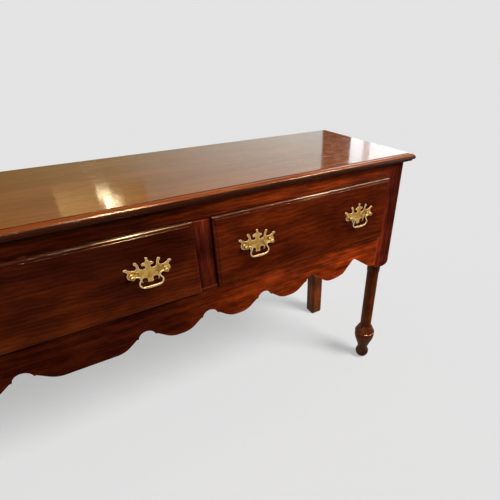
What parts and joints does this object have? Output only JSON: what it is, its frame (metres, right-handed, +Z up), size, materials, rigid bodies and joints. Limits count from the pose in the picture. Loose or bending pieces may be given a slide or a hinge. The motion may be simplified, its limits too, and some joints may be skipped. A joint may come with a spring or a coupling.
{
  "type": "dresser base",
  "caption": "Long low dresser base with a row of lipped drawers over a scalloped apron, turned front legs, square rear legs and pierced brass handles with swinging bails.",
  "frame": {"origin": "centre of the bounding box's base, on the floor", "axes": "+X towards the dresser's right-hand end as seen from the front, along its length, +Y towards the back, +Z up"},
  "size_m": [1.888, 0.4272, 0.81],
  "materials": {
    "top_wood": "polished mahogany",
    "case_wood": "polished red-brown mahogany",
    "drawer_wood": "polished dark mahogany",
    "lining_wood": "bare oak",
    "brass": "worn polish"
  },
  "bodies": {
    "carcase": {"top_board": "top_wood", "front_post_left": "case_wood", "front_post_right": "case_wood", "rear_post_left": "case_wood", "rear_post_right": "case_wood", "front_rail": "case_wood", "divider_left": "case_wood", "divider_right": "case_wood", "front_apron": "case_wood", "end_panel_left": "case_wood", "end_panel_right": "case_wood", "upper_back_rail": "lining_wood", "lower_back_rail": "lining_wood", "upper_back_board": "lining_wood", "lower_back_board": "lining_wood", "runner_left": "lining_wood", "runner_mid_left": "lining_wood", "runner_mid_right": "lining_wood", "runner_right": "lining_wood", "drawer_guides": "lining_wood", "kickers": "lining_wood", "drawer_stops": "lining_wood", "glue_blocks": "lining_wood"},
    "left_drawer_left_bail": {"left_drawer_left_bail": "brass"},
    "left_drawer_right_bail": {"left_drawer_right_bail": "brass"},
    "left_drawer": {"left_drawer_front": "drawer_wood", "left_drawer_left_side": "lining_wood", "left_drawer_right_side": "lining_wood", "left_drawer_back": "lining_wood", "left_drawer_bottom": "lining_wood", "left_drawer_left_backplate": "brass", "left_drawer_left_handle_posts": "brass", "left_drawer_right_backplate": "brass", "left_drawer_right_handle_posts": "brass"},
    "middle_drawer_left_bail": {"middle_drawer_left_bail": "brass"},
    "middle_drawer_right_bail": {"middle_drawer_right_bail": "brass"},
    "middle_drawer": {"middle_drawer_front": "drawer_wood", "middle_drawer_left_side": "lining_wood", "middle_drawer_right_side": "lining_wood", "middle_drawer_back": "lining_wood", "middle_drawer_bottom": "lining_wood", "middle_drawer_left_backplate": "brass", "middle_drawer_left_handle_posts": "brass", "middle_drawer_right_backplate": "brass", "middle_drawer_right_handle_posts": "brass"},
    "right_drawer_left_bail": {"right_drawer_left_bail": "brass"},
    "right_drawer_right_bail": {"right_drawer_right_bail": "brass"},
    "right_drawer": {"right_drawer_front": "drawer_wood", "right_drawer_left_side": "lining_wood", "right_drawer_right_side": "lining_wood", "right_drawer_back": "lining_wood", "right_drawer_bottom": "lining_wood", "right_drawer_left_backplate": "brass", "right_drawer_left_handle_posts": "brass", "right_drawer_right_backplate": "brass", "right_drawer_right_handle_posts": "brass"}
  },
  "joints": [
    {"name": "left_drawer_slide", "type": "slide", "parent": "carcase", "child": "left_drawer", "axis": [0, -1, 0], "range_m": [0, 0.3]},
    {"name": "left_drawer_left_bail_swing", "type": "hinge", "parent": "left_drawer", "child": "left_drawer_left_bail", "pos_m": [-0.758, -0.20755, 0.654], "axis": [-1, 0, 0], "range_deg": [-10, 110]},
    {"name": "left_drawer_right_bail_swing", "type": "hinge", "parent": "left_drawer", "child": "left_drawer_right_bail", "pos_m": [-0.43, -0.20755, 0.654], "axis": [-1, 0, 0], "range_deg": [-10, 110]},
    {"name": "middle_drawer_slide", "type": "slide", "parent": "carcase", "child": "middle_drawer", "axis": [0, -1, 0], "range_m": [0, 0.3]},
    {"name": "middle_drawer_left_bail_swing", "type": "hinge", "parent": "middle_drawer", "child": "middle_drawer_left_bail", "pos_m": [-0.164, -0.20755, 0.654], "axis": [-1, 0, 0], "range_deg": [-10, 110]},
    {"name": "middle_drawer_right_bail_swing", "type": "hinge", "parent": "middle_drawer", "child": "middle_drawer_right_bail", "pos_m": [0.164, -0.20755, 0.654], "axis": [-1, 0, 0], "range_deg": [-10, 110]},
    {"name": "right_drawer_slide", "type": "slide", "parent": "carcase", "child": "right_drawer", "axis": [0, -1, 0], "range_m": [0, 0.3]},
    {"name": "right_drawer_left_bail_swing", "type": "hinge", "parent": "right_drawer", "child": "right_drawer_left_bail", "pos_m": [0.43, -0.20755, 0.654], "axis": [-1, 0, 0], "range_deg": [-10, 110]},
    {"name": "right_drawer_right_bail_swing", "type": "hinge", "parent": "right_drawer", "child": "right_drawer_right_bail", "pos_m": [0.758, -0.20755, 0.654], "axis": [-1, 0, 0], "range_deg": [-10, 110]}
  ]
}
